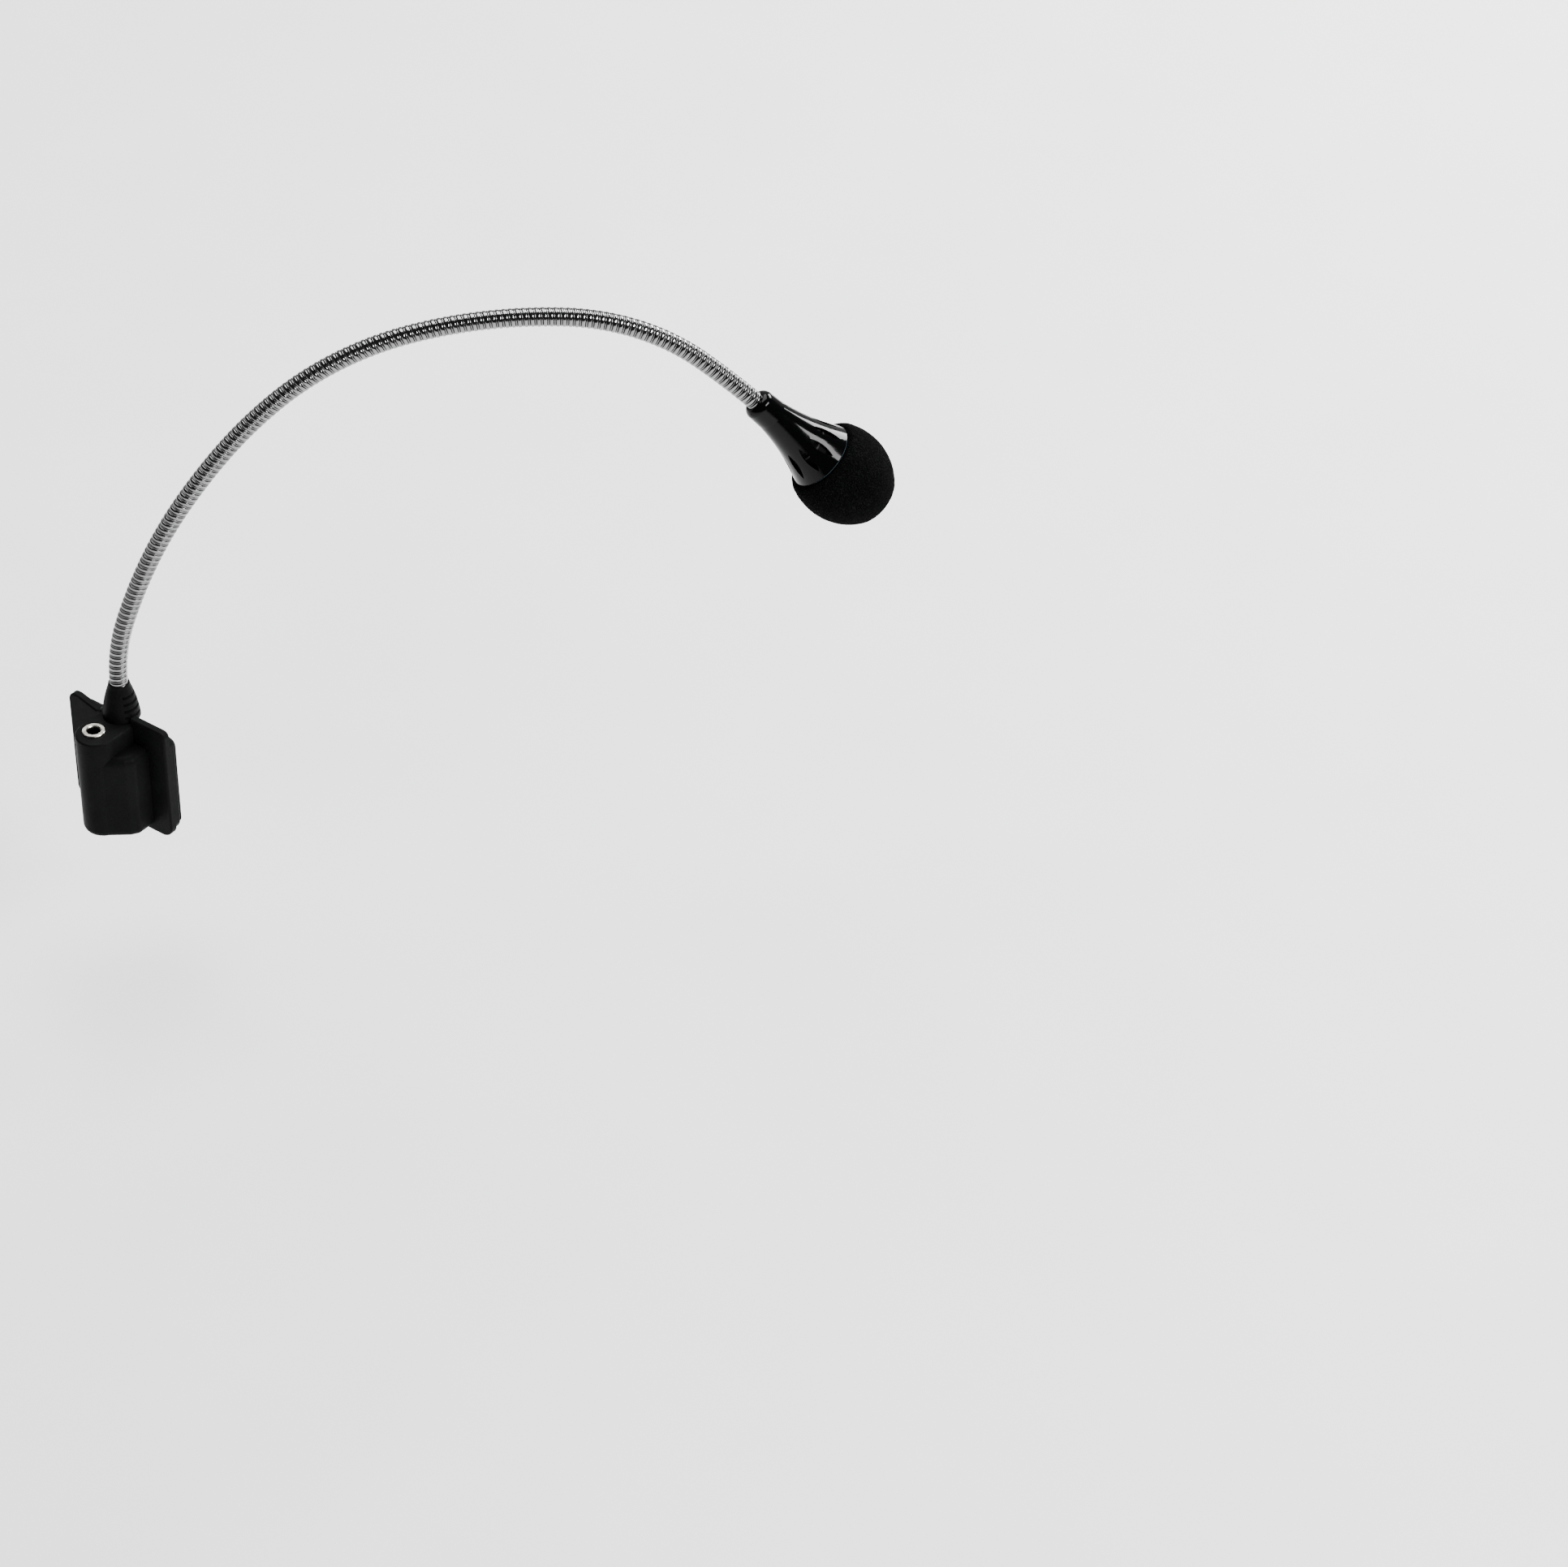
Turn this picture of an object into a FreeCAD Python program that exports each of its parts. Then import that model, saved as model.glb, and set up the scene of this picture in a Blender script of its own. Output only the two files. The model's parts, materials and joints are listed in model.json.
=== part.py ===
import FreeCAD, Part
import math
import os
import Sketcher

# A small black gooseneck microphone that plugs into an instrument's headphone socket.
# Frame: millimetres, +Z up, +Y into the instrument's panel, +X to the right along the panel.
# The origin is on the plug's axis, where it meets the panel.

Vector = FreeCAD.Vector
Rotation = FreeCAD.Rotation
Placement = FreeCAD.Placement

doc = FreeCAD.newDocument("GooseneckMicrophone")
sheet = doc.addObject("Spreadsheet::Sheet", "Sizes")

DIMENSIONS = [
    # housing, seen from above: a round nose with a wider cheek on its right side
    ("housing_left", -4.8),
    ("housing_right", 6.5),
    ("nose_radius", 5.65),
    ("nose_y", -13.3),
    ("cheek_right", 11.4),
    ("cheek_side_y", -10.6),
    ("cheek_corner_x", 9.9),
    ("cheek_corner_y", -12.9),
    ("cheek_front_x", 4.1),
    ("cheek_front_y", -17.7),
    ("housing_bottom", -12.0),
    ("housing_top", 19.4),
    ("cheek_top", 14.0),
    ("shell_wall", 1.2),
    # mounting plate behind the nose, part of the housing
    ("plate_front", 5.5),
    ("plate_back", 3.5),
    ("plate_left", -16.6),
    ("plate_right", 17.8),
    ("plate_bottom", -13.4),
    ("plate_top", 21.5),
    ("ear_top", 20.6),
    ("ear_shoulder", -13.2),
    ("boot_notch", 5.4),
    ("plate_front_round", 0.5),
    ("plate_low_left_round", 3.0),
    ("plate_low_right_round", 3.6),
    ("plate_high_right_round", 1.6),
    ("plate_high_left_round", 2.4),
    ("cheek_corner_round", 2.0),
    ("cheek_shoulder_round", 2.4),
    ("foot_round", 2.2),
    ("rim_round", 0.6),
    # rear cover and adhesive pad
    ("cover_back", 1.5),
    ("cover_left", -16.3),
    ("cover_right", 17.6),
    ("cover_bottom", -12.9),
    ("cover_top", 17.6),
    ("cover_corner_round", 1.4),
    ("cover_low_right_round", 4.2),
    ("cover_edge_round", 0.4),
    ("pad_corner_round", 2.0),
    ("pad_left", -15.2),
    ("pad_right", 16.4),
    ("pad_bottom", -11.7),
    ("pad_top", 16.2),
    ("pad_plug_hole", 2.7),
    ("tongue_height", 0.8),
    ("tongue_width", 1.0),
    # cover screws
    ("screw_head_radius", 1.9),
    ("screw_head_height", 0.9),
    ("screw_radius", 1.0),
    ("screw_length", 7.0),
    ("screw_post_radius", 2.0),
    ("screw_post_length", 6.2),
    # 3.5 mm plug
    ("plug_radius", 1.75),
    ("plug_length", 14.0),
    ("plug_core_radius", 1.2),
    ("plug_pin_radius", 0.45),
    ("insulator_width", 0.6),
    ("sleeve_end", 3.3),
    ("ring_width", 2.5),
    ("plug_barrel_radius", 2.1),
    ("plug_flange_radius", 3.2),
    ("plug_flange_front", 4.35),
    ("plug_flange_width", 1.0),
    # 3.5 mm headphone socket
    ("jack_bore", 1.8),
    ("jack_body_radius", 3.2),
    ("jack_body_bottom", 2.5),
    ("jack_bore_bottom", 4.4),
    ("jack_ring_radius", 3.05),
    ("jack_ring_height", 0.55),
    ("jack_barrel_radius", 2.5),
    ("jack_barrel_bottom", 17.0),
    ("contact_width", 1.3),
    ("contact_thickness", 0.25),
    ("contact_height", 3.2),
    ("contact_clearance", 0.1),
    # circuit board
    ("board_left", -3.1),
    ("board_right", 5.9),
    ("board_bottom", -6.2),
    ("board_top", 11.8),
    ("board_back", 5.6),
    ("board_thickness", 1.0),
    # neck
    ("neck_radius", 2.5),
    ("neck_bore", 1.25),
    ("lead_radius", 0.8),
    ("neck_length", 235.0),
    ("neck_gap", 1.1),
    ("neck_plane_angle", 45.0),
    ("neck_x", 0.45),
    ("neck_y", -3.0),
    ("neck_start_z", 30.2),
    ("neck_tail", 8.8),
    # strain relief boot, neck socket and the boss that holds them
    ("boss_radius", 3.9),
    ("boss_top", 21.4),
    ("boss_bottom", 18.0),
    ("socket_radius", 3.0),
    ("socket_top", 26.0),
    ("boot_foot_radius", 5.1),
    ("boot_tip_radius", 3.05),
    ("boot_tip_z", 28.9),
    ("boot_top", 29.9),
    ("boot_side_radius", 36.0),
    ("groove_count", 4),
    ("groove_first_z", 20.7),
    ("groove_pitch", 1.9),
    ("groove_height", 0.8),
    ("groove_depth", 0.75),
    ("groove_start_angle", -35.0),
    ("groove_span", 120.0),
    # head: distances are along the head's axis, from the end of the neck
    ("bell_length", 25.7),
    ("bell_mouth_radius", 9.5),
    ("bell_throat_radius", 3.1),
    ("bell_shoulder_radius", 4.22),
    ("bell_shoulder_end", 2.1),
    ("bell_shoulder_curve", 2.2),
    ("bell_waist_radius", 4.4),
    ("bell_waist_end", 6.5),
    ("bell_curve_radius", 68.0),
    ("bell_bore", 2.56),
    ("vent_count", 10),
    ("vent_start", 15.9),
    ("vent_length", 7.7),
    ("vent_curve_radius", 8.3),
    ("vent_spin", 22.0),
    ("head_tail", 10.4),
    ("ferrule_radius", 3.35),
    ("ferrule_start", 3.6),
    ("ferrule_end", 10.6),
    ("cage_radius", 7.0),
    ("cage_wall", 0.9),
    ("cage_start", 20.0),
    ("cage_end", 34.4),
    ("capsule_radius", 4.85),
    ("capsule_start", 20.6),
    ("capsule_end", 27.3),
    ("capsule_wall", 0.25),
    ("holder_start", 19.6),
    ("holder_end", 27.9),
    ("foam_radius", 12.8),
    ("foam_half_length", 15.6),
    ("foam_side_radius", 17.5),
    ("foam_centre", 33.8),
    ("foam_start", 25.95),
    ("foam_clearance", 0.1),
]

# How far each piece of the neck turns towards the head, in degrees, from the boot upwards.
NECK_TURNS = [18.8, 6.9, 8.1, 6.4, 9.6, 13.8, 14.0, 9.6, 9.1, 17.6, 17.7, 4.7]

# Socket contacts: name, side of the bore (+1 right, -1 left), height of the lower end.
JACK_CONTACTS = [("jack_tip_contact", 1, 5.0), ("jack_ring_contact", -1, 8.6),
                 ("jack_sleeve_contact", 1, 12.2)]

# Cover screws: where each one goes, across (x) and up (z).
SCREW_PLACES = [(8.6, -9.2), (8.6, 9.8), (-1.7, -9.2)]


def fill_sheet():
    """Writes every driving dimension into the spreadsheet, under its own alias."""
    turns = [("turn_%s" % letter(index), angle) for index, angle in enumerate(NECK_TURNS)]
    for row, (alias, value) in enumerate(DIMENSIONS + turns, start=1):
        sheet.set("A%d" % row, alias)
        sheet.set("B%d" % row, repr(value))
        sheet.setAlias("B%d" % row, alias)
    doc.recompute()


def letter(index):
    return "abcdefghijklmnop"[index]


def size(alias):
    return float(sheet.get(alias))


def sheet_terms(expression):
    """Puts the sheet's name in front of every alias in an expression."""
    words = []
    for word in expression.replace("(", "( ").replace(")", " )").split():
        is_alias = word[0].isalpha() and word not in ("pi", "mm")
        words.append("Sizes." + word if is_alias else word)
    return " ".join(words)


def bind(thing, name, expression):
    thing.setExpression(name, sheet_terms(expression))


def value_of(expression):
    return float(sheet.evalExpression(sheet_terms(expression)))


# ---------------------------------------------------------------- sketches

def origin_plane(body, role):
    return [plane for plane in body.Origin.OriginFeatures if plane.Role == role][0]


def origin_axis(body, role):
    return [axis for axis in body.Origin.OriginFeatures if axis.Role == role][0]


def new_body(label):
    body = doc.addObject("PartDesign::Body", label)
    body.Label = label
    return body


def new_sketch(body, name, role, offset="0"):
    sketch = body.newObject("Sketcher::SketchObject", name)
    sketch.AttachmentSupport = [(origin_plane(body, role), "")]
    sketch.MapMode = "FlatFace"
    bind(sketch, ".AttachmentOffset.Base.z", offset)
    return sketch


def arc_geometry(start, end, radius, bulge_right):
    """An arc from start to end. It bulges to the right of that direction, or to the left."""
    chord = end - start
    across = Vector(chord.y, -chord.x, 0).normalize()
    depth = math.sqrt(radius ** 2 - (chord.Length / 2) ** 2)
    centre = (start + end) * 0.5 - across * (depth if bulge_right else -depth)
    first, last = (start, end) if bulge_right else (end, start)
    begin, finish = [math.atan2(p.y - centre.y, p.x - centre.x) for p in (first, last)]
    if finish < begin:
        finish += 2 * math.pi
    return Part.ArcOfCircle(Part.Circle(centre, Vector(0, 0, 1), radius), begin, finish)


def draw_outline(sketch, points):
    """Draws a closed outline. A point is (x, y), or (x, y, radius, side) to arrive by an arc."""
    corners = [Vector(value_of(p[0]), value_of(p[1]), 0) for p in points]
    ends = []
    for index, start in enumerate(corners):
        target = points[(index + 1) % len(points)]
        end = corners[(index + 1) % len(points)]
        if len(target) == 2:
            edge = sketch.addGeometry(Part.LineSegment(start, end), False)
            ends.append((edge, 1, 2))
            continue
        bulge_right = target[3] == "right"
        arc = arc_geometry(start, end, value_of(target[2]), bulge_right)
        edge = sketch.addGeometry(arc, False)
        ends.append((edge, 1, 2) if bulge_right else (edge, 2, 1))
        radius = sketch.addConstraint(Sketcher.Constraint("Radius", edge, value_of(target[2])))
        bind(sketch, "Constraints[%d]" % radius, target[2])
    for index, (edge, start_end, far_end) in enumerate(ends):
        next_edge, next_start, _ = ends[(index + 1) % len(ends)]
        sketch.addConstraint(Sketcher.Constraint("Coincident", edge, far_end, next_edge, next_start))
        corner = corners[index]
        for kind, text, number in (("DistanceX", points[index][0], corner.x),
                                   ("DistanceY", points[index][1], corner.y)):
            place = sketch.addConstraint(
                Sketcher.Constraint(kind, -1, 1, edge, start_end, number))
            bind(sketch, "Constraints[%d]" % place, text)


def draw_circle(sketch, x, y, radius):
    centre = Vector(value_of(x), value_of(y), 0)
    circle = sketch.addGeometry(Part.Circle(centre, Vector(0, 0, 1), value_of(radius)), False)
    for kind, text in (("DistanceX", x), ("DistanceY", y)):
        place = sketch.addConstraint(Sketcher.Constraint(kind, -1, 1, circle, 3, value_of(text)))
        bind(sketch, "Constraints[%d]" % place, text)
    round_size = sketch.addConstraint(Sketcher.Constraint("Radius", circle, value_of(radius)))
    bind(sketch, "Constraints[%d]" % round_size, radius)


def add_feature(body, kind, name, sketch, length, reverse=False):
    """A Pad or a Pocket of a sketch, bound to the sheet, and tested for having done something."""
    doc.recompute()
    before = body.Shape.Volume if not body.Shape.isNull() else 0.0
    feature = body.newObject("PartDesign::" + kind, name)
    feature.Profile = sketch
    feature.Reversed = reverse
    bind(feature, "Length", length)
    doc.recompute()
    change = feature.Shape.Volume - before
    if (change > 0) != (kind == "Pad"):
        raise RuntimeError("%s changed the volume by %.3f" % (name, change))
    return feature


def round_edges(body, name, wanted, radius):
    """Fillets the edges of the body's tip that the test picks."""
    tip = body.Tip
    names = ["Edge%d" % (i + 1) for i, edge in enumerate(tip.Shape.Edges) if wanted(edge)]
    if not names:
        raise RuntimeError(name + " found no edges")
    fillet = body.newObject("PartDesign::Fillet", name)
    fillet.Base = (tip, names)
    bind(fillet, "Radius", radius)
    doc.recompute()
    return fillet


def lies_at(edge, axis, value):
    """True for an edge that lies wholly in the plane where the axis has this value."""
    box = edge.BoundBox
    low, high = getattr(box, axis + "Min"), getattr(box, axis + "Max")
    return abs(low - value) < 1e-3 and abs(high - value) < 1e-3


def runs_along(edge, axis):
    box = edge.BoundBox
    spans = {"X": box.XLength, "Y": box.YLength, "Z": box.ZLength}
    length = spans.pop(axis)
    return length > 0.3 and max(spans.values()) < 1e-3


def turned(label, profile, placement=None):
    """A turned piece: a closed outline of (radius, height) points, revolved about local Z."""
    body = new_body(label)
    sketch = new_sketch(body, label + "_outline", "XZ_Plane")
    draw_outline(sketch, profile)
    doc.recompute()
    revolution = body.newObject("PartDesign::Revolution", label + "_turned")
    revolution.Profile = sketch
    revolution.ReferenceAxis = (sketch, ["V_Axis"])
    revolution.Angle = 360
    body.Placement = placement or Placement()
    doc.recompute()
    return body


def block(label, low, high):
    """A box between two corners, each given as three expressions."""
    box = doc.addObject("Part::Box", label)
    for index, name in enumerate(("Length", "Width", "Height")):
        bind(box, name, "%s - ( %s )" % (high[index], low[index]))
    for index, name in enumerate("xyz"):
        bind(box, ".Placement.Base." + name, low[index])
    return box


def cylinder(label, radius, height, placement):
    rod = doc.addObject("Part::Cylinder", label)
    bind(rod, "Radius", radius)
    bind(rod, "Height", height)
    rod.Placement = placement
    return rod


def boolean(kind, label, base, tools):
    """Part::Cut of one or more tools from a base, or Part::MultiFuse of everything."""
    if kind == "MultiFuse":
        result = doc.addObject("Part::MultiFuse", label)
        result.Shapes = [base] + tools
    else:
        result = base
        for index, tool in enumerate(tools):
            last = index == len(tools) - 1
            step = doc.addObject("Part::Cut", label if last else "%s_cut_%d" % (label, index))
            step.Base = result
            step.Tool = tool
            result = step
    result.Label = label
    doc.recompute()
    return result


UPRIGHT = Rotation()
ALONG_PLUG = Rotation(Vector(1, 0, 0), -90)
TO_THE_FRONT = Rotation(Vector(1, 0, 0), 90)


# ---------------------------------------------------------------- housing

def nose_outline(wall, back):
    """The nose's plan, set in by a wall thickness, and open to the back at a given depth."""
    left = "housing_left + %s" % wall
    right = "housing_right - %s" % wall
    middle = "( housing_left + housing_right ) / 2"
    radius = "nose_radius - %s" % wall
    return [(left, back), (left, "nose_y"), (middle, "nose_y - ( %s )" % radius, radius, "right"),
            (right, "nose_y", radius, "right"), (right, back)]


def cheek_outline(wall, back):
    """The plan of the wider lower part, which starts inside the nose."""
    return [("0", back), ("0", "cheek_front_y + 2 + %s" % wall),
            ("cheek_front_x - %s * 0.6" % wall, "cheek_front_y + %s * 0.9" % wall),
            ("cheek_corner_x - %s * 0.8" % wall, "cheek_corner_y + %s * 0.7" % wall),
            ("cheek_right - %s" % wall, "cheek_side_y"), ("cheek_right - %s" % wall, back)]


def plate_outline():
    """The plate, seen along the plug: its left ear slopes down to the boot's notch."""
    return [("plate_left", "plate_bottom"), ("plate_right", "plate_bottom"),
            ("plate_right", "plate_top"), ("neck_x + boot_notch", "plate_top"),
            ("neck_x + boot_notch", "housing_top"), ("0 - boot_notch", "housing_top"),
            ("0 - boot_notch - 1.2", "housing_top - 0.6"),
            ("ear_shoulder", "ear_top"), ("plate_left", "ear_top")]


def round_plate_corners(body):
    """Round corners where the plate's outline turns, with a larger one at the lower right."""
    corners = [("plate_left", "plate_bottom", "low_left"), ("plate_right", "plate_bottom", "low_right"),
               ("plate_right", "plate_top", "high_right"), ("plate_left", "ear_top", "high_left")]
    for x, z, corner in corners:
        corner_x, corner_z = size(x), size(z)

        def at_corner(edge):
            return (runs_along(edge, "Y") and lies_at(edge, "X", corner_x)
                    and lies_at(edge, "Z", corner_z))
        round_edges(body, "plate_corner_" + corner, at_corner, "plate_%s_round" % corner)
    front = -size("plate_front")
    round_edges(body, "plate_front_edge", lambda e: lies_at(e, "Y", front), "plate_front_round")


def round_housing_edges(body):
    top, bottom, cheek = size("housing_top"), size("housing_bottom"), size("cheek_top")
    front = -size("plate_front")
    flank = size("housing_right") + 1

    def in_front(edge):
        return edge.BoundBox.YMin < front - 0.5

    round_edges(body, "cheek_corners",
                lambda e: runs_along(e, "Z") and in_front(e) and e.BoundBox.XMin > flank,
                "cheek_corner_round")
    round_edges(body, "cheek_shoulder",
                lambda e: lies_at(e, "Z", cheek) and in_front(e) and e.BoundBox.XMax > flank,
                "cheek_shoulder_round")
    round_edges(body, "foot_edge", lambda e: lies_at(e, "Z", bottom) and in_front(e), "foot_round")
    round_edges(body, "rim_edge", lambda e: lies_at(e, "Z", top) and in_front(e), "rim_round")


def housing_shell():
    body = new_body("housing_shell")
    plate = new_sketch(body, "plate_face", "XZ_Plane", "plate_back")
    draw_outline(plate, plate_outline())
    add_feature(body, "Pad", "plate", plate, "plate_front - plate_back")
    round_plate_corners(body)
    nose = new_sketch(body, "nose_plan", "XY_Plane", "housing_bottom")
    draw_outline(nose, nose_outline("0", "0 - plate_back"))
    add_feature(body, "Pad", "nose", nose, "housing_top - housing_bottom")
    cheek = new_sketch(body, "cheek_plan", "XY_Plane", "housing_bottom")
    draw_outline(cheek, cheek_outline("0", "0 - plate_back"))
    add_feature(body, "Pad", "cheek", cheek, "cheek_top - housing_bottom")
    round_housing_edges(body)
    boss = new_sketch(body, "boss_plan", "XY_Plane", "boss_bottom")
    draw_circle(boss, "neck_x", "neck_y", "boss_radius")
    add_feature(body, "Pad", "neck_boss", boss, "boss_top - boss_bottom")
    cavity = new_sketch(body, "nose_cavity_plan", "XY_Plane", "housing_bottom + shell_wall")
    draw_outline(cavity, nose_outline("shell_wall", "0 - plate_back + 0.01"))
    add_feature(body, "Pocket", "nose_cavity", cavity,
                "housing_top - housing_bottom - 2 * shell_wall - 0.2", True)
    hollow = new_sketch(body, "cheek_cavity_plan", "XY_Plane", "housing_bottom + shell_wall")
    draw_outline(hollow, cheek_outline("shell_wall", "0 - plate_back + 0.01"))
    add_feature(body, "Pocket", "cheek_cavity", hollow,
                "cheek_top - housing_bottom - 2 * shell_wall", True)
    holes = new_sketch(body, "top_holes", "XY_Plane", "boss_top + 0.1")
    draw_circle(holes, "0", "nose_y", "jack_barrel_radius")
    draw_circle(holes, "neck_x", "neck_y", "socket_radius")
    add_feature(body, "Pocket", "top_openings", holes, "boss_top - boss_bottom + 2")
    posts = new_sketch(body, "screw_posts", "XZ_Plane", "plate_back + tongue_height + 0.2")
    for x, z in SCREW_PLACES:
        draw_circle(posts, str(x), str(z), "screw_post_radius")
    add_feature(body, "Pad", "posts", posts, "screw_post_length")
    pilots = new_sketch(body, "screw_pilots", "XZ_Plane", "plate_back")
    for x, z in SCREW_PLACES:
        draw_circle(pilots, str(x), str(z), "screw_radius")
    add_feature(body, "Pocket", "pilot_holes", pilots, "screw_post_length + 0.2", True)
    return body


def rear_cover():
    body = new_body("rear_cover")
    face = new_sketch(body, "cover_face", "XZ_Plane", "cover_back")
    draw_outline(face, [("cover_left", "cover_bottom"), ("cover_right", "cover_bottom"),
                        ("cover_right", "cover_top"), ("cover_left", "cover_top")])
    add_feature(body, "Pad", "cover", face, "plate_back - cover_back")
    low, right = size("cover_bottom"), size("cover_right")
    round_edges(body, "cover_low_corner",
                lambda e: runs_along(e, "Y") and lies_at(e, "Z", low) and lies_at(e, "X", right),
                "cover_low_right_round")
    round_edges(body, "cover_corners",
                lambda e: runs_along(e, "Y") and (e.BoundBox.XMax < 0 or e.BoundBox.ZMin > 0),
                "cover_corner_round")
    back = -size("cover_back")
    round_edges(body, "cover_back_edge", lambda e: lies_at(e, "Y", back), "cover_edge_round")
    tongue = new_sketch(body, "tongue_face", "XZ_Plane", "plate_back")
    draw_outline(tongue, tongue_outline("0.2"))
    add_feature(body, "Pad", "tongue", tongue, "tongue_height")
    relief = new_sketch(body, "tongue_inside", "XZ_Plane", "plate_back + tongue_height")
    draw_outline(relief, tongue_outline("0.2 + tongue_width"))
    add_feature(body, "Pocket", "tongue_relief", relief, "tongue_height")
    holes = new_sketch(body, "cover_holes", "XZ_Plane", "plate_back + tongue_height + 0.1")
    draw_circle(holes, "0", "0", "plug_barrel_radius + 0.03")
    for x, z in SCREW_PLACES:
        draw_circle(holes, str(x), str(z), "screw_radius + 0.15")
    add_feature(body, "Pocket", "cover_openings", holes, "5")
    recesses = new_sketch(body, "screw_recesses", "XZ_Plane", "cover_back")
    for x, z in SCREW_PLACES:
        draw_circle(recesses, str(x), str(z), "screw_head_radius + 0.15")
    add_feature(body, "Pocket", "head_recesses", recesses, "screw_head_height", True)
    return body


def tongue_outline(gap):
    """The low rim that locates the cover in the housing's opening."""
    left = "housing_left + shell_wall + %s" % gap
    nose_right = "housing_right - shell_wall - ( %s )" % gap
    cheek_right = "cheek_right - shell_wall - ( %s )" % gap
    bottom = "housing_bottom + shell_wall + %s" % gap
    shoulder = "cheek_top - shell_wall - ( %s )" % gap
    top = "cover_top - 0.6 - ( %s )" % gap
    return [(left, bottom), (cheek_right, bottom), (cheek_right, shoulder),
            (nose_right, shoulder), (nose_right, top), (left, top)]


def contact_pad():
    body = new_body("contact_pad")
    face = new_sketch(body, "pad_face", "XZ_Plane", "0")
    draw_outline(face, [("pad_left", "pad_bottom"), ("pad_right", "pad_bottom"),
                        ("pad_right", "pad_top"), ("pad_left", "pad_top")])
    draw_circle(face, "0", "0", "pad_plug_hole")
    add_feature(body, "Pad", "pad", face, "cover_back")
    round_edges(body, "pad_corners",
                lambda e: runs_along(e, "Y") and abs(e.BoundBox.XMin) > 10.0, "pad_corner_round")
    return body


def cover_screws():
    screws = []
    for index, (x, z) in enumerate(SCREW_PLACES):
        head_place = Placement(Vector(x, -size("cover_back") - 0.02, z), TO_THE_FRONT)
        shank_place = Placement(Vector(x, -size("cover_back") - 0.5, z), TO_THE_FRONT)
        head = cylinder("screw_head_%d" % index, "screw_head_radius", "screw_head_height - 0.02",
                        head_place)
        shank = cylinder("screw_shank_%d" % index, "screw_radius - 0.02", "screw_length", shank_place)
        slot = block("screw_slot_%d" % index, [str(x - 1.4), "0 - cover_back - 0.4", str(z - 0.2)],
                     [str(x + 1.4), "0 - cover_back + 0.2", str(z + 0.2)])
        whole = boolean("MultiFuse", "screw_blank_%d" % index, head, [shank])
        screws.append(boolean("Cut", "screw_%d" % index, whole, [slot]))
    return boolean("MultiFuse", "cover_screws", screws[0], screws[1:])


# ---------------------------------------------------------------- plug

def plug_pieces():
    place = Placement(Vector(0, 0, 0), ALONG_PLUG)
    flange_back = "0 - plug_flange_front - plug_flange_width"
    sleeve = turned("plug_sleeve", [
        ("plug_core_radius", flange_back), ("plug_flange_radius", flange_back),
        ("plug_flange_radius", "0 - plug_flange_front"),
        ("plug_barrel_radius", "0 - plug_flange_front"), ("plug_barrel_radius", "0 - 0.3"),
        ("plug_radius", "0 - 0.3"), ("plug_radius", "sleeve_end"),
        ("plug_core_radius", "sleeve_end")], place)
    rings = []
    for step, label in enumerate(("plug_ring_rear", "plug_ring_front")):
        start = "sleeve_end + insulator_width + %d * ( ring_width + insulator_width )" % step
        end = start + " + ring_width"
        rings.append(turned(label, [("plug_core_radius", start), ("plug_radius", start),
                                    ("plug_radius", end), ("plug_core_radius", end)], place))
    return [sleeve] + rings + [plug_insulator(place), plug_tip(place)]


def plug_insulator(place):
    """The moulded core, whose three collars show between the metal rings."""
    profile = [("plug_pin_radius", "0 - 6.2"), ("plug_core_radius", "0 - 6.2")]
    collar = "plug_radius - 0.01"
    for step in range(3):
        start = "sleeve_end + %d * ( ring_width + insulator_width )" % step
        end = start + " + insulator_width"
        profile += [("plug_core_radius", start), (collar, start), (collar, end)]
        profile += [("plug_core_radius", end)] if step < 2 else [("plug_pin_radius", end)]
    return turned("plug_insulator", profile, place)


def plug_tip(place):
    start = "sleeve_end + 2 * ring_width + 3 * insulator_width"
    return turned("plug_tip", [
        ("0", "0 - 6.6"), ("plug_pin_radius", "0 - 6.6"), ("plug_pin_radius", start),
        ("plug_radius", start), ("plug_radius", start + " + 0.8"), ("1.15", start + " + 1.6"),
        ("1.2", start + " + 1.9"), ("1.62", start + " + 2.5"), ("0.55", "plug_length - 0.25"),
        ("0.3", "plug_length"), ("0", "plug_length")], place)


# ---------------------------------------------------------------- headphone socket and board

def jack_pieces():
    place = Placement(Vector(0, size("nose_y"), 0), UPRIGHT)
    ring_top = "housing_top + jack_ring_height"
    shoulder = "housing_top - shell_wall - 0.25"
    collar = turned("jack_collar", [
        ("jack_bore", "jack_barrel_bottom"), ("jack_barrel_radius", "jack_barrel_bottom"),
        ("jack_barrel_radius", "housing_top"), ("jack_ring_radius", "housing_top"),
        ("jack_ring_radius", ring_top + " - 0.15"), ("jack_ring_radius - 0.15", ring_top),
        ("jack_bore + 0.25", ring_top), ("jack_bore", ring_top + " - 0.25")], place)
    blank = turned("jack_body_blank", [
        ("0", "jack_body_bottom"), ("jack_body_radius", "jack_body_bottom"),
        ("jack_body_radius", shoulder), ("jack_barrel_radius", shoulder),
        ("jack_barrel_radius", "jack_barrel_bottom"), ("jack_bore", "jack_barrel_bottom"),
        ("jack_bore", "jack_bore_bottom"), ("0", "jack_bore_bottom")], place)
    contacts = []
    windows = []
    for label, side, low in JACK_CONTACTS:
        contacts.append(jack_contact(label, side, low))
        windows.append(contact_window(label, side, low))
    return [collar, boolean("Cut", "jack_body", blank, windows)] + contacts


def across(side, near, far):
    """The low and high X of something that lies beside the bore, on its right (+1) or left (-1)."""
    return (near, far) if side > 0 else ("0 - ( %s )" % far, "0 - ( %s )" % near)


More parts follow.
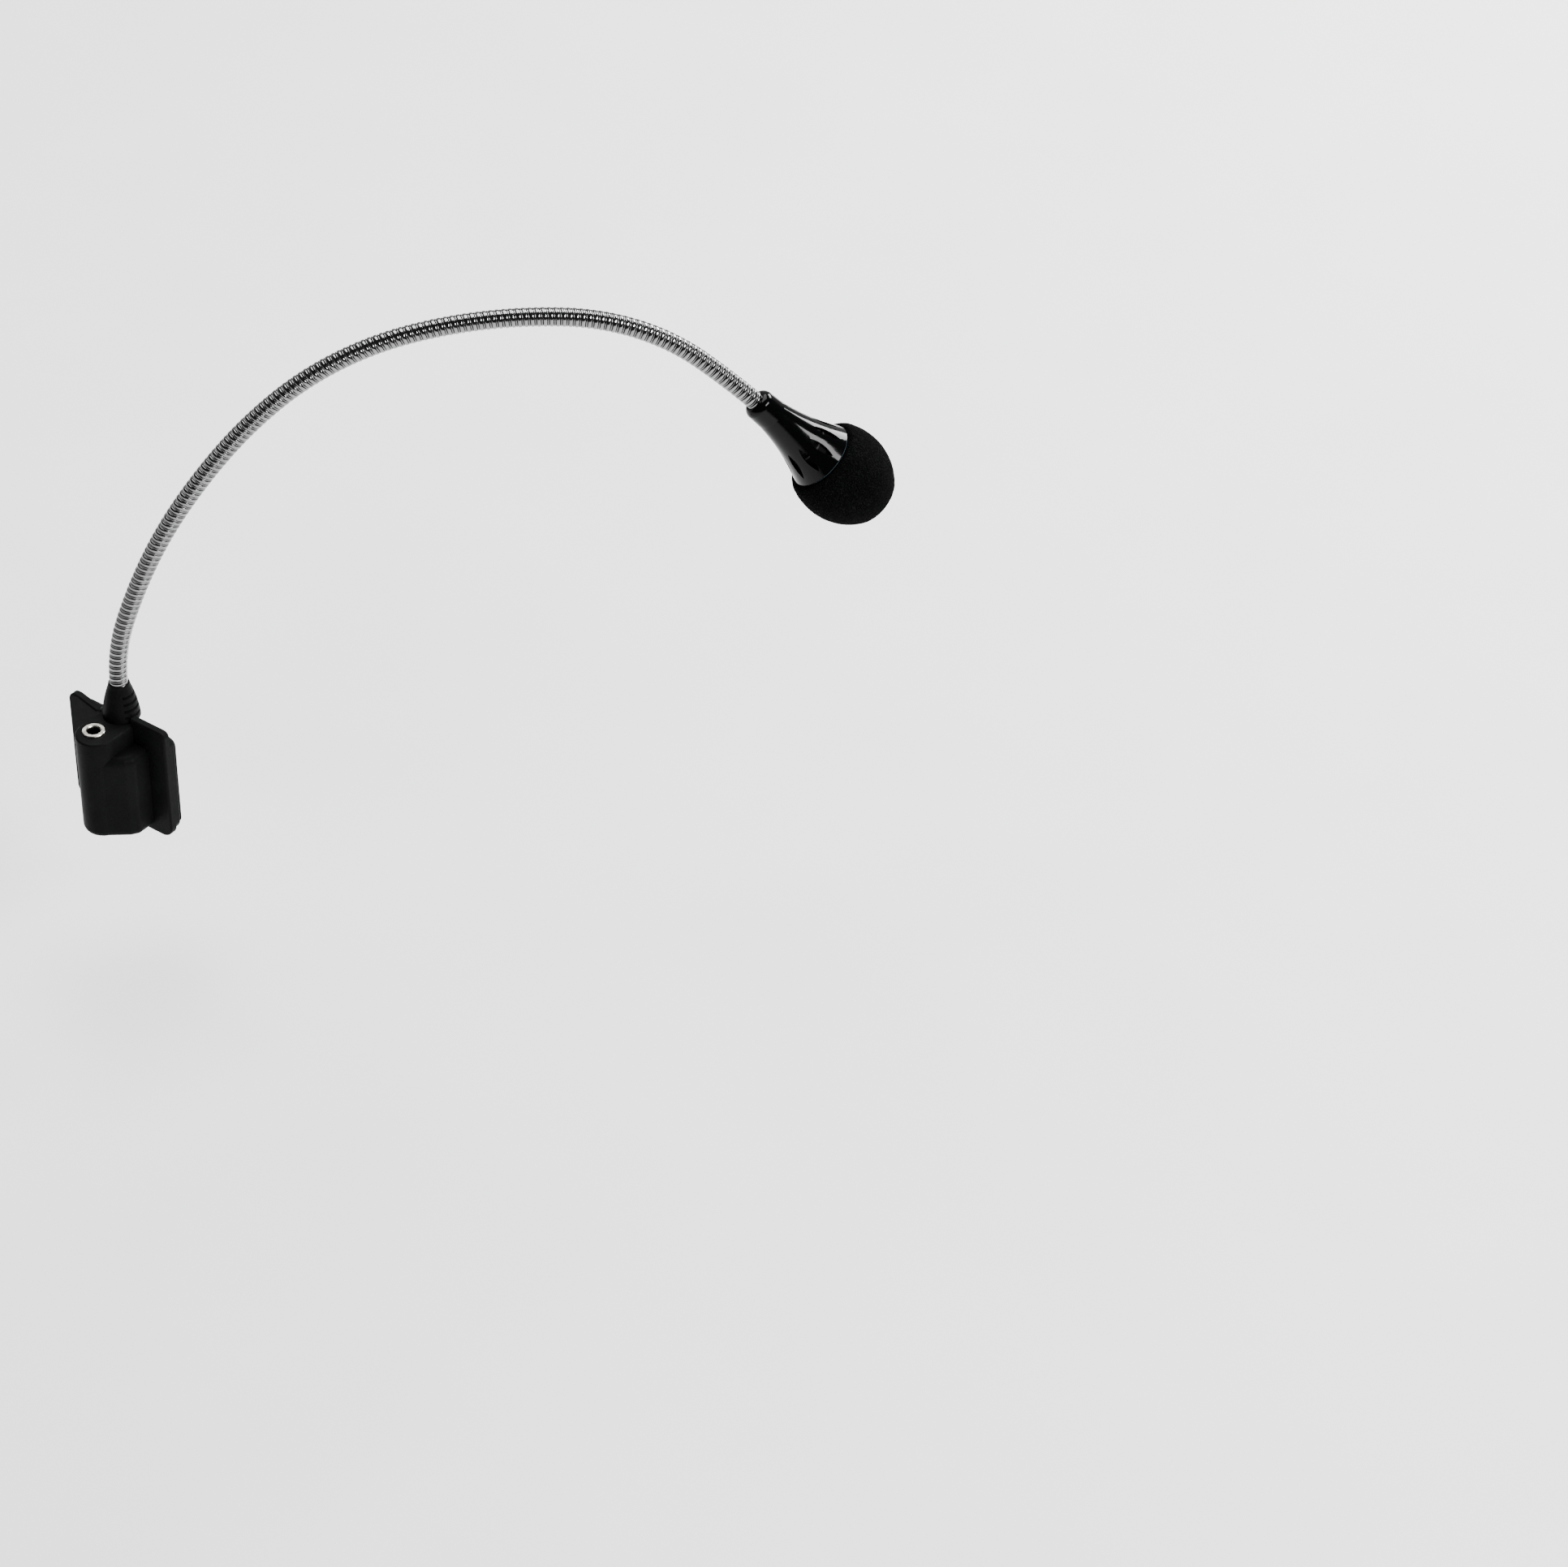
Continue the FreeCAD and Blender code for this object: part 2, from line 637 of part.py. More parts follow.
def jack_contact(label, side, low):
    """A leaf that lies flush with the bore's wall, with a tail that runs back to the board."""
    left, right = across(side, "jack_bore + 0.02", "jack_bore + 0.02 + contact_thickness")
    leaf = block(label + "_leaf", [left, "nose_y - contact_width / 2", str(low)],
                 [right, "nose_y + contact_width / 2", "%s + contact_height" % low])
    tail = block(label + "_tail", [left, "nose_y", str(low)],
                 [right, "0 - board_back - board_thickness", "%s + 1.2" % low])
    return boolean("MultiFuse", label, leaf, [tail])


def contact_window(label, side, low):
    """The space for a contact in the socket's body. It opens into the bore."""
    spare = "contact_clearance"
    left, right = across(side, "jack_bore - 0.6", "jack_bore + 0.02 + contact_thickness + " + spare)
    bottom = "%s - %s" % (low, spare)
    leaf = block(label + "_pocket", [left, "nose_y - contact_width / 2 - " + spare, bottom],
                 [right, "nose_y + contact_width / 2 + " + spare,
                  "%s + contact_height + %s" % (low, spare)])
    inner, outer = across(side, "jack_bore + 0.02 - " + spare,
                          "jack_bore + 0.02 + contact_thickness + " + spare)
    slot = block(label + "_slot", [inner, "nose_y", bottom],
                 [outer, "nose_y + jack_body_radius", "%s + 1.2 + %s" % (low, spare)])
    return boolean("MultiFuse", label + "_window", leaf, [slot])


def circuit_board():
    front = "0 - board_back - board_thickness"
    board = block("board_blank", ["board_left", front, "board_bottom"],
                  ["board_right", "0 - board_back", "board_top"])
    hole = cylinder("board_hole", "plug_core_radius + 0.05", "4",
                    Placement(Vector(0, -4, 0), TO_THE_FRONT))
    return boolean("Cut", "circuit_board", board, [hole])


def board_components():
    """Small parts soldered to the board's front: two chips and three capacitors."""
    front = "0 - board_back - board_thickness"
    places = [(2.4, 5.2, -3.4, -0.6, 0.9), (-2.4, -0.6, 2.0, 3.8, 0.7), (3.0, 4.6, 2.6, 3.4, 0.8),
              (3.0, 4.6, 4.6, 5.4, 0.8), (-2.4, -0.8, -4.8, -4.0, 0.8)]
    chips = []
    for index, (left, right, low, high, tall) in enumerate(places):
        chips.append(block("chip_%d" % index, [str(left), "%s - %s" % (front, tall), str(low)],
                           [str(right), front, str(high)]))
    return boolean("MultiFuse", "board_components", chips[0], chips[1:])


# ---------------------------------------------------------------- neck

def neck_stations():
    """The points between the neck's pieces, and the neck's direction at each of them."""
    azimuth = math.radians(size("neck_plane_angle"))
    outward = Vector(math.cos(azimuth), math.sin(azimuth), 0)
    point = Vector(size("neck_x"), size("neck_y"), size("neck_start_z"))
    climb = math.radians(90)
    stations = [(point, climb)]
    length = size("neck_length") / len(NECK_TURNS)
    for turn in NECK_TURNS:
        angle = math.radians(turn)
        radius = length / angle
        point = point + outward * (radius * (math.sin(climb) - math.sin(climb - angle)))
        point = point + Vector(0, 0, radius * (math.cos(climb - angle) - math.cos(climb)))
        climb -= angle
        stations.append((point, climb))
    return outward, stations


def bent_frame(outward, point, climb, radius, backwards=False):
    """The placement that lays a bent tube, made about local Z, along the neck from a point."""
    tangent = outward * math.cos(climb) + Vector(0, 0, math.sin(climb))
    inner_side = outward * math.sin(climb) - Vector(0, 0, math.cos(climb))
    if backwards:
        tangent = tangent * -1
    x_axis = inner_side * -1
    z_axis = x_axis.cross(tangent)
    matrix = FreeCAD.Matrix(x_axis.x, tangent.x, z_axis.x, 0, x_axis.y, tangent.y, z_axis.y, 0,
                            x_axis.z, tangent.z, z_axis.z, 0, 0, 0, 0, 1)
    place = Placement(matrix)
    place.Base = point - x_axis * radius
    return place


def bent_tube(label, outer, inner, turn, gaps, place, tail=None):
    """A tube along an arc, with a straight tail before its start where the piece has one."""
    body = new_body(label)
    arc_length = "neck_length / %d" % len(NECK_TURNS)
    radius = "%s / ( %s * pi / 180 )" % (arc_length, turn)
    ring = new_sketch(body, label + "_ring", "XZ_Plane")
    draw_circle(ring, radius, "0", outer)
    if inner:
        draw_circle(ring, radius, "0", inner)
    doc.recompute()
    bend = body.newObject("PartDesign::Revolution", label + "_bend")
    bend.Profile = ring
    bend.ReferenceAxis = (ring, ["V_Axis"])
    bind(bend, "Angle", "%s * ( 1 - %s * neck_gap / ( %s ) )" % (turn, gaps, arc_length))
    doc.recompute()
    bend.Reversed = bend.Shape.BoundBox.YMax < size("neck_radius")
    doc.recompute()
    if tail:
        add_feature(body, "Pad", label + "_tail", ring, tail)
        if body.Shape.BoundBox.YMin > -size("neck_radius"):
            body.Tip.Reversed = True
            doc.recompute()
    body.Placement = place
    return body


def neck_pieces():
    """Twelve bent pieces of the flexible tube, each with its stretch of the lead inside."""
    outward, stations = neck_stations()
    length = size("neck_length") / len(NECK_TURNS)
    half_gap = size("neck_gap") / 2
    pieces = []
    last = len(NECK_TURNS) - 1
    for index, turn in enumerate(NECK_TURNS):
        alias = "turn_" + letter(index)
        radius = length / math.radians(turn)
        ends = index in (0, last)
        gaps = "0.5" if ends else "1"
        skip = 0 if ends else math.radians(turn) * half_gap / length
        if index == last:
            point, climb = stations[index + 1]
            place = bent_frame(outward, point, climb, radius, True)
        else:
            point, climb = stations[index]
            place = bent_frame(outward, point, climb, radius)
        turn_on = Rotation(Vector(0, 0, 1), math.degrees(skip))
        place = place.multiply(Placement(Vector(0, 0, 0), turn_on))
        tails = {0: ("neck_tail", "0.01"), last: ("head_tail", "head_tail + 5")}
        coil_tail, lead_tail = tails.get(index, (None, None))
        number = "%02d" % (index + 1)
        pieces.append(bent_tube("neck_coil_" + number, "neck_radius", "neck_bore", alias, gaps,
                                place, coil_tail))
        lead_tail = None if index == 0 else lead_tail
        pieces.append(bent_tube("neck_lead_" + number, "lead_radius", None, alias, gaps,
                                place, lead_tail))
    return pieces


def base_lead():
    """The lead's end in the housing: down through the socket, then on to the board's face."""
    x, y = size("neck_x"), size("neck_y")
    route = [Vector(x, y, size("neck_start_z")), Vector(x, y, 21.6), Vector(x, -4.5, 18.2),
             Vector(x, -7.6, 13.0), Vector(x, -7.6, 7.5)]
    edges = []
    start = route[0]
    for corner, after in zip(route[1:-1], route[2:]):
        reach = min((corner - start).Length, (after - corner).Length) * 0.4
        first = corner + (start - corner).normalize() * reach
        second = corner + (after - corner).normalize() * reach
        edges.append(Part.LineSegment(start, first).toShape())
        edges.append(Part.Arc(first, middle_of_arc(first, second, corner), second).toShape())
        start = second
    edges.append(Part.LineSegment(start, route[-1]).toShape())
    ring = Part.Wire(Part.Circle(route[0], Vector(0, 0, 1), size("lead_radius")).toShape())
    lead = doc.addObject("Part::Feature", "base_lead")
    lead.Shape = Part.Wire(edges).makePipeShell([ring], True, False)
    return lead


def middle_of_arc(first, second, corner):
    """The middle point of the arc that touches both runs of a corner, at first and second."""
    to_centre = ((first + second) * 0.5 - corner).normalize()
    half_opening = (first - corner).getAngle(to_centre)
    reach = (first - corner).Length
    return corner + to_centre * (reach / math.cos(half_opening) - reach * math.tan(half_opening))


def neck_boot():
    """The rubber strain relief, with four short grooves on its right side."""
    place = Placement(Vector(size("neck_x"), size("neck_y"), 0), UPRIGHT)
    cone = turned("boot_blank", [
        ("boss_radius + 0.02", "housing_top"), ("boot_foot_radius", "housing_top"),
        ("boot_tip_radius", "boot_tip_z", "boot_side_radius", "right"),
        ("neck_radius + 0.35", "boot_top"), ("neck_radius + 0.06", "boot_top"),
        ("neck_radius + 0.06", "socket_top + 0.05"), ("socket_radius + 0.05", "socket_top + 0.05"),
        ("socket_radius + 0.05", "boss_top + 0.05"), ("boss_radius + 0.02", "boss_top + 0.05")],
        place)
    grooves = [boot_groove(step) for step in range(int(size("groove_count")))]
    return boolean("Cut", "neck_boot", cone, grooves)


def boot_radius(height):
    """The boot's outer radius at a height, on the arc from its foot to its tip."""
    foot = Vector(size("boot_foot_radius"), size("housing_top"), 0)
    tip = Vector(size("boot_tip_radius"), size("boot_tip_z"), 0)
    side = arc_geometry(foot, tip, size("boot_side_radius"), True)
    rise = height - side.Center.y
    return side.Center.x + math.sqrt(side.Radius ** 2 - rise ** 2)


def boot_groove(step):
    """One groove: a slice of a ring round the boot."""
    height = size("groove_first_z") + step * size("groove_pitch")
    floor = boot_radius(height) - size("groove_depth")
    x, y = size("neck_x"), size("neck_y")
    outer = cylinder("groove_outer_%d" % step, "boot_foot_radius + 1", "groove_height",
                     Placement(Vector(x, y, height), UPRIGHT))
    bind(outer, "Angle", "groove_span")
    outer.Placement.Rotation = Rotation(Vector(0, 0, 1), size("groove_start_angle"))
    inner = cylinder("groove_floor_%d" % step, "%.3f" % floor, "groove_height + 1",
                     Placement(Vector(x, y, height - 0.5), UPRIGHT))
    return boolean("Cut", "groove_%d" % step, outer, [inner])


def neck_socket():
    place = Placement(Vector(size("neck_x"), size("neck_y"), 0), UPRIGHT)
    return turned("neck_socket", [
        ("socket_radius - 0.4", "boss_bottom"), ("socket_radius - 0.02", "boss_bottom"),
        ("socket_radius - 0.02", "socket_top"), ("neck_radius + 0.02", "socket_top"),
        ("neck_radius + 0.02", "boss_top - 0.02"), ("neck_bore + 0.6", "boss_top - 0.02"),
        ("neck_bore + 0.6", "boss_top - 1"), ("socket_radius - 0.4", "boss_top - 1")], place)


# ---------------------------------------------------------------- head

def head_frame():
    """The head's placement. Local Z runs along its axis, from the neck's end. A vent is at local X."""
    outward, stations = neck_stations()
    point, climb = stations[-1]
    axis = outward * math.cos(climb) + Vector(0, 0, math.sin(climb))
    upper_side = Vector(0, 0, math.cos(climb)) - outward * math.sin(climb)
    level = Rotation(upper_side, axis.cross(upper_side), axis, "ZXY")
    return Placement(point, level.multiply(Rotation(Vector(0, 0, 1), size("vent_spin"))))


def head_shell(place):
    """The bell: a shell that flares to its mouth, with a ring of pointed vents."""
    body = turned("head_shell", [
        ("bell_bore", "0"), ("bell_throat_radius", "0"),
        ("bell_shoulder_radius", "bell_shoulder_end", "bell_shoulder_curve", "right"),
        ("bell_waist_radius", "bell_waist_end"),
        ("bell_mouth_radius - 0.05", "bell_length - 0.4", "bell_curve_radius", "left"),
        ("bell_mouth_radius - 0.3", "bell_length"), ("bell_mouth_radius - 1", "bell_length"),
        ("cage_radius + 0.05", "cage_start + 3"), ("cage_radius + 0.05", "cage_start + 2"),
        ("ferrule_radius + 0.6", "ferrule_end + 1.4"),
        ("ferrule_radius + 0.02", "ferrule_end + 0.1"),
        ("ferrule_radius + 0.02", "ferrule_start"), ("bell_bore", "ferrule_start")], place)
    vent = new_sketch(body, "vent_outline", "YZ_Plane")
    draw_outline(vent, [
        ("0", "vent_start", "vent_curve_radius", "right"),
        ("0", "vent_start + vent_length", "vent_curve_radius", "right")])
    cut = add_feature(body, "Pocket", "vent", vent, "bell_mouth_radius + 1", True)
    ring = body.newObject("PartDesign::PolarPattern", "vent_ring")
    ring.Originals = [cut]
    ring.Axis = (origin_axis(body, "Z_Axis"), [""])
    ring.Angle = 360
    bind(ring, "Occurrences", "vent_count")
    body.Tip = ring
    doc.recompute()
    return body


def head_ferrule(place):
    return turned("head_ferrule", [
        ("neck_radius + 0.02", "ferrule_start + 0.02"), ("ferrule_radius", "ferrule_start + 0.02"),
        ("ferrule_radius", "ferrule_end"), ("neck_radius + 0.02", "ferrule_end")], place)


def capsule_pieces(place):
    rim = "capsule_radius - 1.6"
    inside = "capsule_radius - capsule_wall"
    can = turned("capsule_can", [
        (inside, "capsule_start"), ("capsule_radius", "capsule_start"),
        ("capsule_radius", "capsule_end"), ("1.0", "capsule_end"),
        ("1.0", "capsule_end - capsule_wall"), (inside, "capsule_end - capsule_wall")], place)
    board = turned("capsule_board", [
        ("0", "capsule_start + 0.1"), (inside, "capsule_start + 0.1"),
        (inside, "capsule_start + 0.9"), ("0", "capsule_start + 0.9")], place)
    plate = turned("capsule_back_plate", [
        ("0", "capsule_end - 2.2"), (inside + " - 0.3", "capsule_end - 2.2"),
        (inside + " - 0.3", "capsule_end - 1.6"), ("0", "capsule_end - 1.6")], place)
    diaphragm = turned("capsule_diaphragm", [
        ("0", "capsule_end - 1.1"), (rim, "capsule_end - 1.1"), (rim, "capsule_end - 1.4"),
        (inside, "capsule_end - 1.4"), (inside, "capsule_end - 0.9"),
        (rim, "capsule_end - 0.9"), (rim, "capsule_end - 1"), ("0", "capsule_end - 1")], place)
    felt = turned("capsule_felt", [
        ("0", "capsule_end"), ("capsule_radius - 0.4", "capsule_end"),
        ("capsule_radius - 0.4", "capsule_end + 0.5"), ("0", "capsule_end + 0.5")], place)
    return [can, board, plate, diaphragm, felt]


def capsule_holder(place):
    """The rubber sleeve that keeps handling noise from the capsule."""
    outside = "cage_radius - cage_wall - 0.02"
    return turned("capsule_holder", [
        ("capsule_radius - 1.2", "holder_start"), (outside, "holder_start"),
        (outside, "holder_end"), ("capsule_radius + 0.02", "holder_end"),
        ("capsule_radius + 0.02", "capsule_start - 0.02"),
        ("capsule_radius - 1.2", "capsule_start - 0.02")], place)


def head_cage(place):
    """The slotted plastic cage that stands out of the bell, and carries the windscreen."""
    inside = "cage_radius - cage_wall"
    blank = turned("cage_blank", [
        (inside, "cage_start + 0.1"), (inside + " + 0.15", "cage_start + 0.1"),
        ("cage_radius", "cage_start + 2.1"),
        ("cage_radius", "cage_end - 1"), ("cage_radius - 1", "cage_end"), ("0", "cage_end"),
        ("0", "cage_end - cage_wall"), (inside, "cage_end - cage_wall")], place)
    slots = []
    for step in range(8):
        slot = block("cage_slot_%d" % step, ["cage_radius - 2", "0 - 0.9", "holder_end + 0.6"],
                     ["cage_radius + 1", "0.9", "cage_end - 2.1"])
        slot.Placement = slot_place(place, slot, 45 * step)
        slots.append(slot)
    for step in range(6):
        spin = math.radians(60 * step)
        centre = place.multVec(Vector(3.9 * math.cos(spin), 3.9 * math.sin(spin),
                                      size("cage_end") - 2))
        slots.append(cylinder("cage_port_%d" % step, "1.1", "3", Placement(centre, place.Rotation)))
    return boolean("Cut", "head_cage", blank, slots)


def slot_place(place, slot, angle):
    """Turns a slot's box about the head's axis, and takes it to the head."""
    doc.recompute()
    at_home = Placement(slot.Placement)
    for name in "xyz":
        slot.setExpression(".Placement.Base." + name, None)
    spun = Placement(Vector(0, 0, 0), Rotation(Vector(0, 0, 1), angle))
    return place.multiply(spun).multiply(at_home)


def foam_windscreen(place):
    """An oval ball of foam, cut off flat at the bell, with a blind bore for the cage."""
    across, half, side = size("foam_radius"), size("foam_half_length"), size("foam_side_radius")
    side_centre = across - side
    end_radius = (half ** 2 + side_centre ** 2 - side ** 2) / (2 * (half - side))
    meeting = Vector(-side_centre, half - end_radius, 0).normalize() * side
    cut_height = size("foam_centre") - size("foam_start")
    mouth = side_centre + math.sqrt(side ** 2 - cut_height ** 2)
    bore = "cage_radius + foam_clearance"
    return turned("foam_windscreen", [
        (bore, "foam_start"), ("%.9f" % mouth, "foam_start"),
        ("%.9f" % (side_centre + meeting.x), "foam_centre + %.9f" % meeting.y,
         "foam_side_radius", "right"),
        ("0", "foam_centre + foam_half_length", "%.9f" % end_radius, "right"),
        ("0", "cage_end + 0.3"), (bore, "cage_end + 0.3")], place)


# ---------------------------------------------------------------- checking and writing

def check(nodes):
    doc.recompute()
    for thing in doc.Objects:
        if "Invalid" in thing.State or "Error" in thing.State:
            raise RuntimeError("%s failed: %s" % (thing.Label, thing.State))
    for node in nodes:
        if node.Shape.isNull() or not node.Shape.isValid() or not node.Shape.Solids:
            raise RuntimeError(node.Label + " has no valid solid")
    labels = [node.Label for node in nodes]
    if len(labels) > 60 or len(set(labels)) != len(labels):
        raise RuntimeError("node names are not all different, or there are too many")


def main():
    fill_sheet()
    head = head_frame()
    nodes = [housing_shell(), rear_cover(), contact_pad(), cover_screws()]
    nodes += plug_pieces() + jack_pieces() + [circuit_board(), board_components()]
    nodes += [neck_socket(), neck_boot(), base_lead()] + neck_pieces()
    nodes += [head_shell(head), head_ferrule(head), capsule_holder(head), head_cage(head)]
    nodes += capsule_pieces(head) + [foam_windscreen(head)]
    check(nodes)
    os.makedirs("parts", exist_ok=True)
    for node in nodes:
        node.Shape.exportStep("parts/%s.step" % node.Label)
    print("%d nodes written" % len(nodes))


main()
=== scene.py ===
import json
import math

import bpy
import numpy as np
from mathutils import Matrix, Vector, noise

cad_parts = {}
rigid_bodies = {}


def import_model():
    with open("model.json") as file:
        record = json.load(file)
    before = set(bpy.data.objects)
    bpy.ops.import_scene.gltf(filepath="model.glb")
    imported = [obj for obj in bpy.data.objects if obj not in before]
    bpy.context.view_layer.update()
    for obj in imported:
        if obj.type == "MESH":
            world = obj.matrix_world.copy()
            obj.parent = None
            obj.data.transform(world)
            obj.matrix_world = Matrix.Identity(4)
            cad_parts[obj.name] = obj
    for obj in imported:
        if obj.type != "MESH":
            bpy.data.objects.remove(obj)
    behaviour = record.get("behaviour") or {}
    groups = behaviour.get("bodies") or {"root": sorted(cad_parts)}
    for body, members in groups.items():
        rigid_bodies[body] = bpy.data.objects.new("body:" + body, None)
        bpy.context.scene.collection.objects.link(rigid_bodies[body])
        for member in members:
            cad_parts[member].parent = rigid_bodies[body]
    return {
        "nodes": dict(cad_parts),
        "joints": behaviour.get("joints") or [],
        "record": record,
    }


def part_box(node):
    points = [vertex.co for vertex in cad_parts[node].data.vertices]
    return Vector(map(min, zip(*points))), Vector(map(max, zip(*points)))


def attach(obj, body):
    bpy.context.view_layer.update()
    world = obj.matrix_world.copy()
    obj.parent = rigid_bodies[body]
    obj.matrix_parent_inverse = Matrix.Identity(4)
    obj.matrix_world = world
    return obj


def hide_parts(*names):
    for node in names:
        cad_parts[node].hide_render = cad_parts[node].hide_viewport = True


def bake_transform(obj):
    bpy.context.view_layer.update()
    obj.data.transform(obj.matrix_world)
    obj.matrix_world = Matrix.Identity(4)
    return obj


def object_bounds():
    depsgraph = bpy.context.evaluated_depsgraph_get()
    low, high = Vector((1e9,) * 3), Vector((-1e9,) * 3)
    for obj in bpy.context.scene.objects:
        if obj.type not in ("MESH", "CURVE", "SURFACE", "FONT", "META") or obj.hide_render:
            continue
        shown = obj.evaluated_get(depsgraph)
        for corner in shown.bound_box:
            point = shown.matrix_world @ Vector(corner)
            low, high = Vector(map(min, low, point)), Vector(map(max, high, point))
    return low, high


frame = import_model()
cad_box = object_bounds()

# A small gooseneck microphone: black base with a headphone socket, wound chrome neck,
# gloss bell and foam windscreen. Metres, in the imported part's own frame.

MM = 0.001
record = frame["record"]
joints = {joint["name"]: joint for joint in frame["joints"]}
neck_joints = [joint for joint in frame["joints"] if joint["name"].startswith("neck_")]
neck_bodies = [neck_joints[0]["parent"]] + [joint["child"] for joint in neck_joints]


# ---------------------------------------------------------------- camera

def place_camera():
    """A long lens from above the object's front right, at the photograph's viewing angle."""
    data = bpy.data.cameras.new("camera")
    data.sensor_fit = "HORIZONTAL"
    data.sensor_width = 36
    data.lens = 100.78
    data.clip_end = 20
    camera = bpy.data.objects.new("camera", data)
    bpy.context.scene.collection.objects.link(camera)
    right = Vector((0.8069, 0.5905, 0.0169)).normalized()
    back = Vector((0.4589, -0.6446, 0.6115)).normalized()
    up = back.cross(right).normalized()
    right = up.cross(back)
    turn = Matrix((right, up, back)).transposed().to_4x4()
    camera.matrix_world = Matrix.Translation((0.68428, -0.65967, 0.72064)) @ turn
    bpy.context.scene.camera = camera


# ---------------------------------------------------------------- the neck's line

def reflect(direction, chord):
    """An arc's end tangents mirror each other about its chord."""
    chord = chord.normalized()
    return 2 * direction.dot(chord) * chord - direction


def neck_line():
    """The neck's stations (both ends and every hinge), the tangent at each, and a piece's length."""
    places = [Vector(joint["pos_m"]) for joint in neck_joints]
    side = Vector(neck_joints[0]["axis"])
    across = Vector(neck_joints[1]["axis"])
    tangents = [None] * len(places)
    start = across.cross(side).normalized()
    if start.dot(places[2] - places[1]) < 0:
        start.negate()
    tangents[1] = start
    tangents[0] = reflect(start, places[1] - places[0])
    for index in range(2, len(places)):
        tangents[index] = reflect(tangents[index - 1], places[index] - places[index - 1])
    half = tangents[0].angle(tangents[1]) / 2
    length = (places[1] - places[0]).length * half / math.sin(half)
    first, last = Vector((0, 0, 1)), Vector(joints["windscreen_pull"]["axis"]).normalized()
    foot = arc_end(places[0], tangents[0], first, length, -1)
    tip = arc_end(places[-1], tangents[-1], last, length, 1)
    return [foot] + places + [tip], [first] + tangents + [last], length


def arc_end(place, tangent, other, length, sign):
    """The far end of a piece that leaves a station (sign 1) or arrives at it (sign -1)."""
    half = tangent.angle(other) / 2
    chord = length * math.sin(half) / half
    return place + (tangent + other).normalized() * chord * sign


stations, tangents, piece_length = neck_line()
neck_side = Vector(neck_joints[0]["axis"]).normalized()
neck_length = piece_length * (len(stations) - 1)
neck_end, head_axis = stations[-1], tangents[-1]


def along_neck(distance):
    """The point and tangent at a distance along the neck, straight on past both ends."""
    if distance <= 0:
        return stations[0] + tangents[0] * distance, tangents[0]
    if distance >= neck_length:
        return stations[-1] + tangents[-1] * (distance - neck_length), tangents[-1]
    index = min(int(distance / piece_length), len(stations) - 2)
    part = distance / piece_length - index
    begin, end = tangents[index], tangents[index + 1]
    angle = begin.angle(end)
    inward = (end - begin * begin.dot(end)).normalized()
    radius = piece_length / angle
    turn = part * angle
    place = stations[index] + (begin * math.sin(turn) + inward * (1 - math.cos(turn))) * radius
    return place, begin * math.cos(turn) + inward * math.sin(turn)


# ---------------------------------------------------------------- meshes

def add_mesh(name, vertices, faces, finish, smooth=True):
    """A mesh object with one finish, from its points and faces."""
    mesh = bpy.data.meshes.new(name)
    mesh.from_pydata([tuple(v) for v in vertices], [], faces)
    mesh.polygons.foreach_set("use_smooth", [smooth] * len(mesh.polygons))
    mesh.materials.append(finish)
    mesh.update()
    thing = bpy.data.objects.new(name, mesh)
    bpy.context.scene.collection.objects.link(thing)
    return thing


# One winding, as (share of the pitch, radius in mm): a broad flat wire, then a thin one,
# with a groove before each.
WINDING = [(0.00, 2.16), (0.045, 2.18), (0.06, 2.36), (0.10, 2.445), (0.20, 2.488), (0.34, 2.50),
           (0.48, 2.488), (0.58, 2.445), (0.62, 2.36), (0.635, 2.18), (0.705, 2.16), (0.72, 2.30),
           (0.76, 2.385), (0.83, 2.41), (0.90, 2.385), (0.94, 2.30)]
WINDING_PITCH = 1.63 * MM
WINDING_STEPS = 24
WINDING_BORE = 1.25 * MM
# The "depth" mark runs from 0 at the crests, in mm, to 1 down in the grooves.
CREST_RADIUS, GROOVE_DEPTH = 2.44, 0.2
# How far the winding runs on into the base and into the bell.
INTO_BASE, INTO_BELL = 8.4 * MM, 9.6 * MM


def ring_point(distance, angle, radius):
    """A point round the neck's line."""
    place, tangent = along_neck(distance)
    out = neck_side.cross(tangent)
    return place + (out * math.cos(angle) + neck_side * math.sin(angle)) * radius


